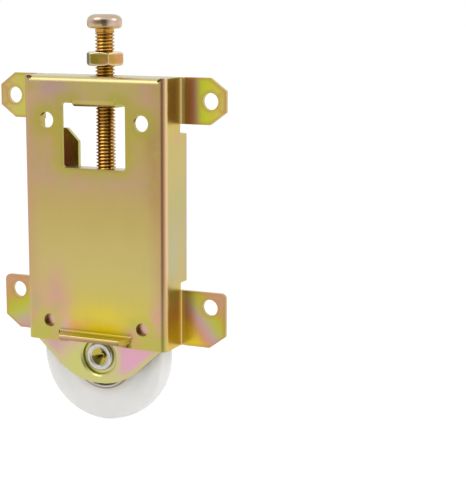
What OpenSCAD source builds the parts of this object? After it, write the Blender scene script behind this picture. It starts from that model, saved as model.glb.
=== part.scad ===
// Height-adjustable ball bearing roller for a sliding door. A screw raises and lowers a wheel carriage that
// slides in a housing pressed from one piece of sheet steel. Millimetres, Z up, the front plate faces -Y.
// The origin is the centre of the four ear holes, on the front faces of the ears.

/* [Sheet] */
// Thickness of the pressed sheet
sheet = 1.5; // [1:0.1:1.8]
// Outside radius of the bends
bend_r = 2; // [1.9:0.1:2.4]

/* [Housing] */
// Width over the side walls
housing_w = 47; // [46:0.5:52]
// Height from the bottom edge to the top wall
housing_h = 80; // [79:0.5:90]
// Depth from the front plate to the back of the guide flanges
housing_d = 16; // [15.5:0.25:20]
// Depth from the front plate to the back of the ears
ear_depth = 12; // [10:0.25:13]
// Depth of the top wall from the front plate
top_wall_d = 12; // [11.6:0.2:13]
// Play between the top wall and each side wall
top_gap = 0.4; // [0.2:0.1:0.8]
// Radius of the relief hole where three bends meet
relief_r = 0.65; // [0.5:0.05:0.9]

/* [Ears] */
// Height of the upper ears
ear_upper_h = 13.6; // [11:0.2:15]
// Height of the lower ears
ear_lower_h = 16.7; // [13:0.1:18]
// Width of the corner cuts on the ears
ear_cut_w = 5; // [2:0.25:6]
// Height of the corner cuts on the ears
ear_cut_h = 3.7; // [2:0.1:5]
// Radius of the upper outer corner of the lower ears
ear_corner_r = 1.6; // [0.8:0.1:2.5]
// Distance across between ear holes
ear_hole_dx = 65.8; // [62:0.2:67]
// Ear beyond the centre of its hole
ear_edge = 4.9; // [4.4:0.1:8]
// Diameter of the ear holes
ear_hole_d = 5; // [4:0.1:5.5]
// Upper ear holes below the top wall
ear_hole_drop = 6.8; // [6:0.1:7.5]
// Lower ear holes above the bottom edge
ear_hole_rise = 12.2; // [10.5:0.1:13.5]

/* [Front plate] */
// Width of the window
window_w = 21.2; // [18:0.2:23]
// Top of the window below the top wall
window_drop = 7.8; // [7:0.1:9]
// Bottom of the window below the top wall
window_low = 27; // [22:0.25:32]
// Corner radius of the window
window_r = 1; // [0.5:0.1:1.5]
// Distance across between the front holes
front_hole_dx = 31.3; // [29:0.1:33]
// Diameter of the upper front holes
front_hole_d = 4.8; // [3.5:0.1:5]
// Upper front holes below the top wall
front_hole_drop = 13.1; // [11:0.1:16]
// Diameter of the lower front holes
pilot_d = 4; // [3:0.1:4.5]
// Lower front holes above the bottom edge
pilot_rise = 6.1; // [5.5:0.1:9]

/* [Screw tab and collar] */
// Width of the tab that steadies the screw
tab_w = 13.9; // [12.5:0.1:15]
// Reach of the tab from the front plate
tab_reach = 14.2; // [12.8:0.1:15]
// Underside of the tab below the top wall
tab_drop = 8.9; // [8.5:0.1:9.5]
// Diametral clearance of the screw in the tab
tab_play = 0.6; // [0.4:0.1:1]
// Wall of the drawn collar under the top wall
collar_wall = 0.65; // [0.5:0.05:1]
// Length of the collar below the top wall's underside
collar_h = 3; // [2:0.1:3.8]
// Diametral running clearance of the screw in the collar and nut
thread_play = 0.1; // [0.06:0.02:0.2]

/* [Lip] */
// Width of the lip at its edge
lip_w = 20; // [16:0.5:23]
// Width of the lip at its root
lip_root_w = 24.4; // [24:0.2:27]
// Reach of the lip in front of the plate
lip_reach = 4.6; // [3.5:0.1:6]
// Top face of the lip above the bottom edge of the plate
lip_rise = 3.1; // [2.5:0.1:4]
// Inside radius of the lip's bend
lip_r = 1; // [0.6:0.1:1.5]

/* [Guide flanges] */
// Gap between the two flanges
flange_gap = 26.3; // [22:0.1:30]
// Top of the flanges below the top wall
flange_drop = 16.7; // [15.5:0.1:20]
// Height of the flanges
flange_h = 44.2; // [40:0.1:45]
// Size of the corner cuts on the flanges
flange_cut = 3.9; // [2:0.1:5]
// Distance across between the rows of dimples
dimple_dx = 34.4; // [32:0.1:36]
// First, second and third dimple below the top of the flange
dimple_drops = [20.2, 32.8, 39.6]; // [8:0.1:40]
// Diameter of a dimple
dimple_d = 1.8; // [1:0.1:2.4]
// Radius of the dents that stiffen the bends
dent_r = 1.1; // [0.6:0.1:1.3]

/* [Carriage] */
// Play between carriage and side walls, each side
side_play = 0.3; // [0.2:0.05:0.6]
// Play between carriage and front plate or flanges
face_play = 0.2; // [0.1:0.05:0.4]
// Top of the carriage below the top wall, as set by the screw
carriage_drop = 27.9; // [24:0.1:30]
// Axle below the top of the carriage
axle_drop = 56.3; // [54:0.1:60]
// Radius of the leg around the axle
tip_r = 8.6; // [8:0.1:10]
// Start of the taper above the axle
taper_rise = 4.5; // [2:0.1:8]
// Diameter of the pressed cup around the axle
cup_d = 11.4; // [11:0.1:12.5]
// Draft of the cup, as a drop in radius
cup_draft = 0.4; // [0.2:0.05:0.6]

/* [Wheel] */
// Diameter of the wheel
wheel_d = 41; // [38:0.5:43]
// Width of the wheel
wheel_w = 7.5; // [7:0.1:8]
// Crown of the tread, as a drop in radius at its edges
crown = 0.35; // [0.1:0.05:0.6]
// Radius of the rounded edge of the tread
tread_edge = 0.8; // [0.4:0.1:1.2]
// Radial width of the moulded lips that hold the bearing
hold_lip = 0.5; // [0.3:0.05:0.7]
// Outer radius of the raised hub ring
hub_r = 11; // [10.4:0.1:12]
// Inner radius of the rim
rim_r = 17.4; // [16:0.1:18]
// Depth of the face between hub and rim
face_sink = 0.35; // [0.2:0.05:0.6]

/* [Bearing] */
// Outside diameter
bearing_od = 19; // [18:0.5:20]
// Width of the outer ring
bearing_w = 6; // [5.6:0.1:6.2]
// Overhang of the inner ring on each side
inner_step = 0.3; // [0.2:0.05:0.5]
// Thickness of each ring at its shoulders
ring_wall = 1.6; // [1.4:0.05:1.8]
// Diameter of a ball
ball_d = 3.2; // [2.8:0.1:3.4]
// Running gap between ball and race
race_gap = 0.3; // [0.2:0.05:0.35]
// Thickness of the ribbon cage
cage_t = 0.35; // [0.25:0.05:0.4]
// Radial width of the ribbon cage
cage_w = 1.1; // [0.8:0.1:1.4]
// Thickness of a shield
shield_t = 0.4; // [0.3:0.05:0.5]
// Depth of a shield below the face of the outer ring
shield_sink = 0.3; // [0.2:0.05:0.35]

/* [Axle] */
// Diameter of the axle
axle_d = 6; // [5.5:0.1:6.4]
// Diameter of the slotted head
axle_head_d = 10; // [9:0.1:10.2]
// Depth of the head below the back of the carriage
head_sink = 0.2; // [0.1:0.05:0.5]
// Width of the slot in the head
slot_w = 1.8; // [1.2:0.1:2.4]
// Depth of the slot in the head
slot_depth = 0.4; // [0.3:0.1:0.9]
// Diameter of the spun-over front end
spun_d = 8.4; // [7.6:0.1:9]
// Depth of the spun-over front end below the front of the carriage
spun_sink = 0.3; // [0.1:0.05:0.6]
// Diameter of the hollow in the front end
hollow_d = 5.2; // [4:0.1:5.4]
// Depth of the hollow
hollow_depth = 3; // [2:0.1:4]
// Diametral clearance of the axle in the carriage
axle_play = 0.1; // [0.04:0.02:0.2]

/* [Screw and nut] */
// Thread diameter
thread_d = 5.9; // [5.4:0.1:6]
// Underside of the head above the top wall, as set
head_rise = 13.7; // [13.2:0.1:18]
// Diameter of the pan head
head_d = 10.3; // [9.5:0.1:11]
// Height of the pan head
head_h = 4.2; // [3.8:0.1:4.8]
// Radius of the head's upper edge
head_top_r = 1.9; // [1:0.1:2.2]
// Radius of the head's lower edge
head_low_r = 1.2; // [0.4:0.1:1.4]
// Width of the recess in the head
recess_w = 1.3; // [0.8:0.1:1.6]
// Length of the recess in the head
recess_l = 6; // [4.5:0.1:7]
// Depth of the recess in the head
recess_depth = 2; // [1:0.1:2.4]
// Diameter of the turned-down end that swivels in the carriage
journal_d = 4.2; // [3.6:0.1:4.6]
// Diametral clearance of the journal
journal_play = 0.1; // [0.06:0.02:0.2]
// Axial play of the swivel
swivel_play = 0.1; // [0.05:0.01:0.2]
// Room between the washer under the carriage top and each leg
washer_room = 0.3; // [0.25:0.05:0.8]
// Thickness of the washer
washer_t = 1; // [0.8:0.1:1.5]
// Diameter of the riveted end
rivet_d = 6.4; // [5.6:0.1:7]
// Height of the riveted end
rivet_h = 1.3; // [0.9:0.1:1.6]
// Width across the flats of the lock nut
nut_af = 10; // [9.5:0.1:10.5]
// Height of the lock nut
nut_h = 4.1; // [3.6:0.1:4.6]
// Gap between the lock nut and the top wall, as set
nut_rise = 2.9; // [2.5:0.1:4]
// Turn of the lock nut, as set
nut_turn = 1; // [0:1:59]

/* [Hidden] */
$fn = 64;
eps = 0.01;
bend_in = bend_r - sheet;

// planes of the housing: front face, mid plane of wheel and screw, top and bottom
y_front = sheet - ear_depth;
y_mid = y_front + housing_d / 2;
ear_hole_dz = housing_h - ear_hole_drop - ear_hole_rise;
z_top = ear_hole_dz / 2 + ear_hole_drop;
z_bottom = z_top - housing_h;
ear_span = ear_hole_dx + 2 * ear_edge;
z_flange = z_top - flange_drop;
z_lip = z_bottom + lip_rise;
z_tab = z_top - tab_drop;

// how far the spheres that press the dimples and the dents stand off the flange and the bend
dimple_off = dimple_d / 6;
dent_off = 0.4 * dent_r - 0.3 * bend_r;

// carriage and axle
car_w = housing_w - 2 * sheet - 2 * side_play;
car_d = housing_d - 2 * sheet - 2 * face_play;
z_car = z_top - carriage_drop;
z_axle = z_car - axle_drop;
leg_gap = car_d - 2 * sheet;
boss_half = bearing_w / 2 + inner_step;
cup_depth = leg_gap / 2 - boss_half;
tip_tuck = 0.05;

// axle ends: edge break of the head, shape of the spun end (crown and roll are shares of its thickness) and
// tip of the hollow
head_break = 0.4;
spun_crown = 0.9;
spun_roll = 0.4;
spun_flat = 0.3;
spun_edge = 0.5;
hollow_tip_d = 0.3 * hollow_d;

// lip webs: spread beyond the lip at its root and at the bottom edge, and the room cut beside the lip
web_spread = 0.4;
web_foot = 0.6;
lip_room = 0.2;

// collar: draft, room kept to the end of the top wall, depth and width of the drawn edge on the upper face
collar_draft = 0.15;
collar_room = 0.05;
collar_edge_h = 0.6;
collar_edge_w = 0.65;

// cup: wall left round it, depth and width of its rounded mouth
cup_wall = 0.6 * sheet;
cup_edge_h = 0.4;
cup_edge_w = 0.5;

// screw and nut
z_head = z_top + head_rise;
z_nut = z_top + nut_rise;
bore_d = thread_d + thread_play;
washer_d = leg_gap - 2 * washer_room;
rivet_taper = 0.4 * rivet_h;
rivet_foot_d = 0.7 * rivet_d;
recess_foot = 0.4 * recess_l;
nut_face_d = 0.95 * nut_af;
nut_slope = 1.8;
nut_break = 0.4;

// bearing
pitch_r = (bearing_od + axle_d) / 4;
race_r = ball_d / 2 + race_gap;
shield_y = bearing_w / 2 - shield_sink;
shield_grip = 0.5;
shield_gap = 0.4;
shield_r = bearing_od / 2 - ring_wall + shield_grip;
crimp_out = 0.1;
crimp_in = 0.3;
ring_break = 0.25;
pocket_play = 0.05;
balls = 7;

zinc = [0.80, 0.71, 0.40];
zinc_deep = [0.73, 0.55, 0.26];
steel = [0.72, 0.72, 0.73];
nylon = [0.90, 0.90, 0.89];

// quarter of a bend: a ring sector about (x, y) that starts at angle a
module bend(x, y, a, r = bend_r) {
    translate([x, y]) rotate(a) intersection() {
        difference() { circle(r); circle(r - sheet); }
        square(r);
    }
}

// a rectangle between two corners
module span(a, b) { translate(a) square(b - a); }

module mirrored() { children(); mirror([1, 0, 0]) children(); }

// lays a section drawn in (y, z) along X, centred
module along_x(w) { translate([-w / 2, 0, 0]) rotate([90, 0, 90]) linear_extrude(w) children(); }

// lays an outline drawn in (x, z) along Y, from y = a to y = b
module along_y(a, b) { translate([0, b, 0]) rotate([90, 0, 0]) linear_extrude(b - a) children(); }

// turns a solid that stands on Z about the wheel axis, so that its Z runs along +Y
module on_axle() { translate([0, y_mid, z_axle]) rotate([-90, 0, 0]) children(); }

// plan section of one half of the housing, with the side wall as deep as wall_end
module half_plan(wall_end) {
    translate([0, y_front]) {
        span([-eps, 0], [housing_w / 2 - bend_r, sheet]);
        bend(housing_w / 2 - bend_r, bend_r, 270);
        span([housing_w / 2 - sheet, bend_r], [housing_w / 2, wall_end]);
    }
}

module ear_plan() {
    half_plan(ear_depth - bend_r);
    translate([0, y_front]) {
        bend(housing_w / 2 + bend_in, ear_depth - bend_r, 90);
        span([housing_w / 2 + bend_in, ear_depth - sheet], [ear_span / 2, ear_depth]);
    }
}

module flange_plan() {
    half_plan(housing_d - bend_r);
    translate([0, y_front]) {
        bend(housing_w / 2 - bend_r, housing_d - bend_r, 0);
        span([flange_gap / 2, housing_d - sheet], [housing_w / 2 - bend_r, housing_d]);
    }
}

module at_z(a, b) { translate([0, 0, a]) linear_extrude(b - a) children(); }

// outlines in (x, z) of what the corner cuts take off the ears and the flanges
module ear_cuts() {
    x = ear_span / 2;
    for (z = [[z_top, -1], [z_top - ear_upper_h, 1], [z_bottom, 1]])
        polygon([[x + 1, z[0]], [x + 1, z[0] - z[1]], [x - ear_cut_w, z[0] - z[1]], [x - ear_cut_w, z[0]],
            [x, z[0] + z[1] * ear_cut_h], [x + 1, z[0] + z[1] * ear_cut_h]]);
    z_low = z_bottom + ear_lower_h;
    difference() {
        span([x - ear_corner_r, z_low - ear_corner_r], [x + 1, z_low + 1]);
        translate([x - ear_corner_r, z_low - ear_corner_r]) circle(ear_corner_r);
    }
}

module flange_cuts() {
    x = flange_gap / 2;
    for (z = [[z_flange, -1], [z_flange - flange_h, 1]])
        polygon([[x - 1, z[0] + z[1] * flange_cut], [x, z[0] + z[1] * flange_cut], [x + flange_cut, z[0]],
            [x + flange_cut, z[0] - z[1]], [x - 1, z[0] - z[1]]]);
}

// window with a relief notch on each side of the tab
module window() {
    r = window_r;
    low = z_top - window_low;
    high = z_top - window_drop;
    span([-window_w / 2 + r, low], [window_w / 2 - r, high - 2 * r]);
    span([-window_w / 2, low + r], [window_w / 2, high - r]);
    mirrored() {
        translate([window_w / 2 - r, low + r]) circle(r);
        translate([window_w / 2 - r, high - r]) circle(r);
        span([tab_w / 2, high - 2 * r], [window_w / 2 - r, high]);
    }
}

// top wall, folded back from the front plate
module top_section() {
    translate([y_front, 0]) {
        span([0, z_top - 2 * bend_r], [sheet, z_top - bend_r]);
        bend(bend_r, z_top - bend_r, 90);
        span([bend_r, z_top - sheet], [top_wall_d, z_top]);
    }
}

// tab folded back from the top edge of the window
module tab_section() {
    translate([y_front, 0]) {
        span([0, z_tab + bend_r], [sheet, z_tab + 2 * bend_r]);
        bend(bend_r, z_tab + bend_r, 180);
        span([bend_r, z_tab], [tab_reach, z_tab + sheet]);
    }
}

// lip folded out from the bottom edge of the front plate
module lip_section() {
    r = lip_r + sheet;
    translate([y_front, 0]) {
        bend(-lip_r, z_lip + lip_r, 270, r);
        span([-lip_reach, z_lip - sheet], [-lip_r, z_lip]);
    }
}

// web that ties one end of the lip to the plate
module lip_web() {
    w = lip_root_w / 2;
    e = lip_w / 2;
    root = z_lip + web_spread;
    polyhedron([[w + web_spread, y_front, root], [e + web_foot, y_front, z_bottom],
            [e, y_front - lip_reach, z_lip],
            [w + web_spread, y_front + sheet, root - sheet], [e + web_foot, y_front + sheet, z_bottom],
            [e - sheet / 2, y_front - lip_reach, z_lip - sheet],
            [e - sheet / 2, y_front + sheet, z_bottom]],
        [[0, 2, 1], [0, 3, 5, 2], [3, 6, 5], [0, 1, 4, 3], [3, 4, 6], [1, 2, 5, 6], [1, 6, 4]]);
}

// collar drawn down out of the top wall for the screw's thread
module collar() {
    foot = bore_d / 2 + collar_wall;
    blend = min(sheet / 2, top_wall_d - housing_d / 2 - foot - collar_room);
    translate([0, y_mid, z_top - sheet]) rotate_extrude() difference() {
        span([0, -collar_h], [foot + blend, eps]);
        span([foot, -collar_h - 1], [foot + blend + 1, -blend]);
        translate([foot + blend, -blend]) circle(blend);
        polygon([[foot - collar_draft, -collar_h - eps], [foot + 1, -collar_h - eps], [foot + 1, -blend],
            [foot, -blend]]);
    }
}

module housing() {
    color(zinc) difference() {
        union() {
            difference() {
                union() {
                    mirrored() {
                        at_z(z_bottom, z_top) half_plan(ear_depth - bend_r);
                        difference() {
                            at_z(z_bottom, z_bottom + ear_lower_h) ear_plan();
                            along_y(0 - sheet, sheet * 2) ear_cuts();
                        }
                        difference() {
                            at_z(z_top - ear_upper_h, z_top) ear_plan();
                            along_y(0 - sheet, sheet * 2) ear_cuts();
                        }
                        difference() {
                            at_z(z_flange - flange_h, z_flange) flange_plan();
                            along_y(y_front + housing_d - sheet - eps, y_front + housing_d + 1)
                                flange_cuts();
                        }
                    }
                }
                // room for the folded top, the tab and the lip
                along_y(y_front - 1, y_front + bend_r)
                    span([-housing_w / 2 + bend_r, z_top - 2 * bend_r],
                        [housing_w / 2 - bend_r, z_top + 1]);
                along_y(y_front - 1, y_front + sheet + 1) window();
                along_y(y_front - 1, y_front + sheet + 1)
                    span([-tab_w / 2, z_tab - 1], [tab_w / 2, z_tab + 2 * bend_r]);
                along_y(y_front - 1, y_front + sheet + 1)
                    polygon([[-lip_root_w / 2, z_lip + lip_r], [lip_root_w / 2, z_lip + lip_r],
                        [lip_root_w / 2, z_lip], [lip_w / 2 + lip_room, z_bottom - 1],
                        [-lip_w / 2 - lip_room, z_bottom - 1],
                        [-lip_root_w / 2, z_lip]]);
            }
            along_x(housing_w - 2 * bend_r) intersection() {
                top_section();
                span([y_front, z_top - 2 * bend_r], [y_front + bend_r, z_top]);
            }
            along_x(housing_w - 2 * sheet - 2 * top_gap) difference() {
                top_section();
                span([y_front - 1, z_top - 3 * bend_r], [y_front + bend_r, z_top + 1]);
            }
            along_x(tab_w) tab_section();
            intersection() {
                along_x(lip_root_w) lip_section();
                at_z(z_bottom, z_top) translate([0, y_front])
                    polygon([[-lip_root_w / 2, sheet + 1], [-lip_root_w / 2, 0], [-lip_w / 2, -lip_reach],
                        [lip_w / 2, -lip_reach], [lip_root_w / 2, 0], [lip_root_w / 2, sheet + 1]]);
            }
            mirrored() lip_web();
            collar();
        }
        // screw holes in the top wall and in the tab
        translate([0, y_mid, z_top - sheet - collar_h - 1]) cylinder(d = bore_d, h = sheet + collar_h + 2);
        translate([0, y_mid, z_tab - 1]) cylinder(d = thread_d + tab_play, h = sheet + 1.5);
        // drawn edge of the collar on the upper face
        translate([0, y_mid, z_top - collar_edge_h])
            cylinder(d1 = bore_d, d2 = bore_d + 2 * collar_edge_w, h = collar_edge_h + eps);
        mirrored() {
            translate([ear_hole_dx / 2, 0, 0]) for (s = [-1, 1]) translate([0, -sheet, s * ear_hole_dz / 2])
                rotate([-90, 0, 0]) cylinder(d = ear_hole_d, h = 3 * sheet);
            translate([front_hole_dx / 2, y_front - 1, z_top - front_hole_drop])
                rotate([-90, 0, 0]) cylinder(d = front_hole_d, h = sheet + 2);
            translate([front_hole_dx / 2, y_front - 1, z_bottom + pilot_rise])
                rotate([-90, 0, 0]) cylinder(d = pilot_d, h = sheet + 2);
            // relief through the bend where the front plate, the side wall and the top wall meet
            translate([housing_w / 2 - bend_r, y_front + bend_r, z_top - bend_r])
                rotate([45, 0, 0]) cylinder(r = relief_r, h = bend_r + 1);
            // dimples in the flanges, and dents across their bends at the same heights
            for (d = dimple_drops) {
                translate([dimple_dx / 2, y_front + housing_d + dimple_off, z_flange - d])
                    sphere(d = dimple_d);
                translate([housing_w / 2 + dent_off, y_front + housing_d + dent_off, z_flange - d])
                    sphere(dent_r);
            }
        }
    }
}

// section of the carriage in (y, z): an inverted U
module carriage_section(low) {
    half = car_d / 2;
    translate([y_mid, z_car]) {
        span([-half + bend_r, -sheet], [half - bend_r, 0]);
        for (s = [0, 1]) mirror([s, 0]) {
            bend(half - bend_r, -bend_r, 0);
            span([half - sheet, low - z_car], [half, -bend_r]);
        }
    }
}

// outline of a leg in (x, z): straight sides, then tapers that run into a round tip about the axle,
// each ending a little inside the tip's circle next to where it would touch it
module leg_outline() {
    p = [car_w / 2, taper_rise];
    a = atan2(p[1], p[0]) - acos(tip_r / norm(p));
    t = (tip_r - tip_tuck) * [cos(a), sin(a)];
    translate([0, z_axle]) {
        span([-p[0], p[1]], [p[0], axle_drop + 1]);
        polygon([p, t, [0, 0], [-t[0], t[1]], [-p[0], p[1]]]);
        circle(tip_r);
    }
}

// cup pressed into one leg, on the +Z side of the wheel axis
module cup_boss() {
    r = cup_d / 2;
    translate([0, 0, boss_half])
        cylinder(r1 = r - cup_draft + cup_wall, r2 = r + cup_wall, h = cup_depth + sheet / 2);
}

module cup_hollow() {
    r = cup_d / 2;
    translate([0, 0, boss_half + sheet]) cylinder(r1 = r - cup_draft, r2 = r, h = cup_depth);
    translate([0, 0, car_d / 2 - cup_edge_h]) cylinder(r1 = r, r2 = r + cup_edge_w, h = cup_edge_h + eps);
}

module carriage() {
    color(zinc) difference() {
        union() {
            intersection() {
                along_x(car_w) carriage_section(z_axle - tip_r - 1);
                along_y(y_mid - car_d, y_mid + car_d) leg_outline();
            }
            on_axle() for (s = [0, 1]) mirror([0, 0, s]) cup_boss();
        }
        on_axle() {
            for (s = [0, 1]) mirror([0, 0, s]) cup_hollow();
            translate([0, 0, -car_d]) cylinder(d = axle_d + axle_play, h = 2 * car_d);
        }
        translate([0, y_mid, z_car - 2 * sheet]) cylinder(d = journal_d + journal_play, h = 3 * sheet);
    }
}

module adjuster_screw() {
    neck = sheet + washer_t + 2 * swivel_play;
    r = head_d / 2;
    color(zinc_deep) translate([0, y_mid, 0]) difference() {
        union() {
            // pan head: a rounded rim under a low dome
            translate([0, 0, z_head]) rotate_extrude() intersection() {
                union() {
                    span([0, 0], [r, head_h / 2]);
                    intersection() {
                        span([0, 0], [r, head_h]);
                        translate([0, head_h - head_d]) circle(head_d, $fn = 180);
                    }
                }
                union() {
                    span([0, 0], [r - head_low_r, head_h - head_top_r]);
                    span([0, head_low_r], [r, head_h - head_top_r]);
                    span([0, head_low_r], [r - head_top_r, head_h]);
                    translate([r - head_low_r, head_low_r]) circle(head_low_r);
                    translate([r - head_top_r, head_h - head_top_r]) circle(head_top_r);
                }
            }
            translate([0, 0, z_car + swivel_play / 2]) cylinder(d = thread_d, h = z_head - z_car);
            translate([0, 0, z_car - neck]) cylinder(d = journal_d, h = neck + 1);
            // riveted end under the washer
            translate([0, 0, z_car - neck - rivet_h]) {
                translate([0, 0, rivet_taper]) cylinder(d = rivet_d, h = rivet_h - rivet_taper);
                cylinder(d1 = rivet_foot_d, d2 = rivet_d, h = rivet_taper);
            }
        }
        // cross recess with tapered wings
        translate([0, 0, z_head + head_h - recess_depth]) for (a = [0, 90]) rotate([90, 0, a])
            translate([0, 0, -recess_w / 2]) linear_extrude(recess_w)
                polygon([[-recess_foot / 2, 0], [recess_foot / 2, 0], [recess_l / 2, recess_depth + 1],
                    [-recess_l / 2, recess_depth + 1]]);
    }
}

module swivel_washer() {
    color(steel) translate([0, y_mid, z_car - sheet - swivel_play - washer_t]) difference() {
        cylinder(d = washer_d, h = washer_t);
        translate([0, 0, -1]) cylinder(d = journal_d + journal_play, h = washer_t + 2);
    }
}

module lock_nut() {
    corner = nut_af / cos(30);
    color(zinc) translate([0, y_mid, z_nut]) difference() {
        intersection() {
            rotate(nut_turn) cylinder(d = corner, h = nut_h, $fn = 6);
            // corners turned off at both ends
            union() {
                cylinder(d1 = nut_face_d, d2 = nut_face_d + nut_h * nut_slope, h = nut_h / 2);
                translate([0, 0, nut_h / 2])
                    cylinder(d1 = nut_face_d + nut_h * nut_slope, d2 = nut_face_d, h = nut_h / 2);
            }
        }
        translate([0, 0, -1]) cylinder(d = bore_d, h = nut_h + 2);
        translate([0, 0, -eps]) cylinder(d1 = bore_d + 2 * nut_break, d2 = bore_d, h = nut_break);
        translate([0, 0, nut_h - nut_break + eps])
            cylinder(d1 = bore_d, d2 = bore_d + 2 * nut_break, h = nut_break);
    }
}

// axle: slotted head in the back cup, front end drilled and spun over in the front cup
module axle() {
    r = axle_d / 2;
    seat = boss_half + sheet;
    head_t = cup_depth - head_sink;
    spun_t = cup_depth - spun_sink;
    color(steel) on_axle() difference() {
        rotate_extrude() polygon([[0, -seat - spun_t], [hollow_d / 2 + spun_flat, -seat - spun_t],
            [spun_d / 2 - spun_edge, -seat - spun_t * spun_crown], [spun_d / 2, -seat - spun_t * spun_roll],
            [spun_d / 2, -seat], [r, -seat], [r, seat], [axle_head_d / 2, seat],
            [axle_head_d / 2, seat + head_t - head_break], [axle_head_d / 2 - head_break, seat + head_t],
            [0, seat + head_t]]);
        translate([0, 0, -seat - spun_t - eps]) cylinder(d1 = hollow_d, d2 = hollow_tip_d, h = hollow_depth);
        translate([-slot_w / 2, -axle_head_d, seat + head_t - slot_depth])
            cube([slot_w, 2 * axle_head_d, head_t]);
    }
}

// nylon wheel moulded round the bearing
module tyre() {
    w = wheel_w / 2;
    b = bearing_w / 2;
    r = wheel_d / 2;
    c = ((w - tread_edge) * (w - tread_edge) / crown - crown) / 2 + crown;
    color(nylon) on_axle() rotate_extrude($fn = 96) difference() {
        union() {
            span([bearing_od / 2 - hold_lip, -w], [r - tread_edge, w]);
            span([bearing_od / 2 - hold_lip, -w + tread_edge], [r, w - tread_edge]);
            for (s = [-1, 1]) translate([r - crown - tread_edge, s * (w - tread_edge)]) circle(tread_edge);
        }
        // crowned tread
        difference() {
            span([r - crown - tread_edge, -w - 1], [r + 1, w + 1]);
            translate([r - c, 0]) circle(c, $fn = 180);
            for (s = [-1, 1]) translate([r - crown - tread_edge, s * (w - tread_edge)]) circle(tread_edge);
        }
        for (s = [0, 1]) mirror([0, s])
            polygon([[hub_r, w + 1], [hub_r, w], [hub_r + face_sink, w - face_sink],
                [rim_r - face_sink, w - face_sink],
                [rim_r, w], [rim_r, w + 1]]);
        span([0, -b], [bearing_od / 2, b]);
    }
}

module bearing_outer_ring() {
    b = bearing_w / 2;
    r = bearing_od / 2;
    color(steel) on_axle() rotate_extrude() difference() {
        span([r - ring_wall, -b], [r, b]);
        translate([pitch_r, 0]) circle(race_r);
        for (s = [0, 1]) mirror([0, s]) {
            span([0, shield_y - shield_t], [shield_r, shield_y]);
            polygon([[0, shield_y], [shield_r - crimp_in, shield_y], [shield_r - crimp_out, b + eps],
                [0, b + eps]]);
        }
    }
}

module bearing_inner_ring() {
    b = boss_half;
    r = axle_d / 2;
    color(steel) on_axle() rotate_extrude() difference() {
        polygon([[r, -b], [r + ring_wall - ring_break, -b], [r + ring_wall, ring_break - b],
            [r + ring_wall, b - ring_break], [r + ring_wall - ring_break, b], [r, b]]);
        translate([pitch_r, 0]) circle(race_r);
    }
}

// shield on the +Z side of the wheel axis, clipped into the outer ring
module shield() {
    translate([0, 0, shield_y - shield_t]) difference() {
        cylinder(r = shield_r, h = shield_t);
        translate([0, 0, -1]) cylinder(r = axle_d / 2 + ring_wall + shield_gap, h = shield_t + 2);
    }
}

module shield_front() { color(steel) on_axle() mirror([0, 0, 1]) shield(); }
module shield_rear() { color(steel) on_axle() shield(); }

module round_balls() {
    for (i = [0:balls - 1]) rotate(i * 360 / balls) translate([pitch_r, 0, 0]) children();
}

// half of the ribbon cage: a flat ring that bulges over each ball
module cage_half() {
    pocket = ball_d / 2 + pocket_play;
    difference() {
        intersection() {
            translate([0, 0, pocket_play]) difference() {
                cylinder(r = pitch_r + cage_w / 2, h = ball_d);
                translate([0, 0, -1]) cylinder(r = pitch_r - cage_w / 2, h = ball_d + 2);
            }
            union() {
                cylinder(r = pitch_r + cage_w, h = pocket_play + cage_t);
                round_balls() sphere(pocket + cage_t);
            }
        }
        round_balls() sphere(pocket);
    }
}

module cage_front() { color(steel) on_axle() mirror([0, 0, 1]) cage_half(); }
module cage_rear() { color(steel) on_axle() cage_half(); }

module ball(i) {
    color(steel) on_axle() rotate(i * 360 / balls) translate([pitch_r, 0, 0]) sphere(d = ball_d);
}
module ball_1() { ball(0); }
module ball_2() { ball(1); }
module ball_3() { ball(2); }
module ball_4() { ball(3); }
module ball_5() { ball(4); }
module ball_6() { ball(5); }
module ball_7() { ball(6); }

housing();
carriage();
adjuster_screw();
swivel_washer();
lock_nut();
axle();
tyre();
bearing_outer_ring();
bearing_inner_ring();
shield_front();
shield_rear();
cage_front();
cage_rear();
ball_1();
ball_2();
ball_3();
ball_4();
ball_5();
ball_6();
ball_7();
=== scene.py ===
"""Sliding door roller in yellow zinc, with a nylon wheel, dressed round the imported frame.

Sizes are written in millimetres and turned into metres where a mesh is made.
"""
import math
from types import SimpleNamespace

import bmesh
import bpy
from mathutils import Matrix, Vector
from mathutils.kdtree import KDTree


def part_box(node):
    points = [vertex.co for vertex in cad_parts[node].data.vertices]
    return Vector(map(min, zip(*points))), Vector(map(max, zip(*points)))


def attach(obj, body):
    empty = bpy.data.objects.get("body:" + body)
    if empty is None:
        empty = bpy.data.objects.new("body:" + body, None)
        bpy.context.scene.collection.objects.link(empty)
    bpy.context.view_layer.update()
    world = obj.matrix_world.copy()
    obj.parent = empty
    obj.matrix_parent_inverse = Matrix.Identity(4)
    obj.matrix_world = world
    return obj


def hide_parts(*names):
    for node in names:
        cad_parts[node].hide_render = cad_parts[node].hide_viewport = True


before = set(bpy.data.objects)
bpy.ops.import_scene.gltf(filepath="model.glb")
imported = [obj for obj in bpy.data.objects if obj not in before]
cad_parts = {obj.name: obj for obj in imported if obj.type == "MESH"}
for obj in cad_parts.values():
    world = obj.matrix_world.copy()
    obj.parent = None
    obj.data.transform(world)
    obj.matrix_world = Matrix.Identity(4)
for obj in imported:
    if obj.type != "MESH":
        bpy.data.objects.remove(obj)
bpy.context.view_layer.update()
MM = 0.001


# Places taken from the frame

def corners(node):
    """Lowest and highest corner of a CAD node, in millimetres."""
    low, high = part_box(node)
    return low / MM, high / MM


housing_low, housing_high = corners("housing")
carriage_low, carriage_high = corners("carriage")
screw_low, screw_high = corners("adjuster_screw")
tyre_low, tyre_high = corners("tyre")
nut_low, nut_high = corners("lock_nut")
axle_front = corners("axle")[0].y

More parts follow.
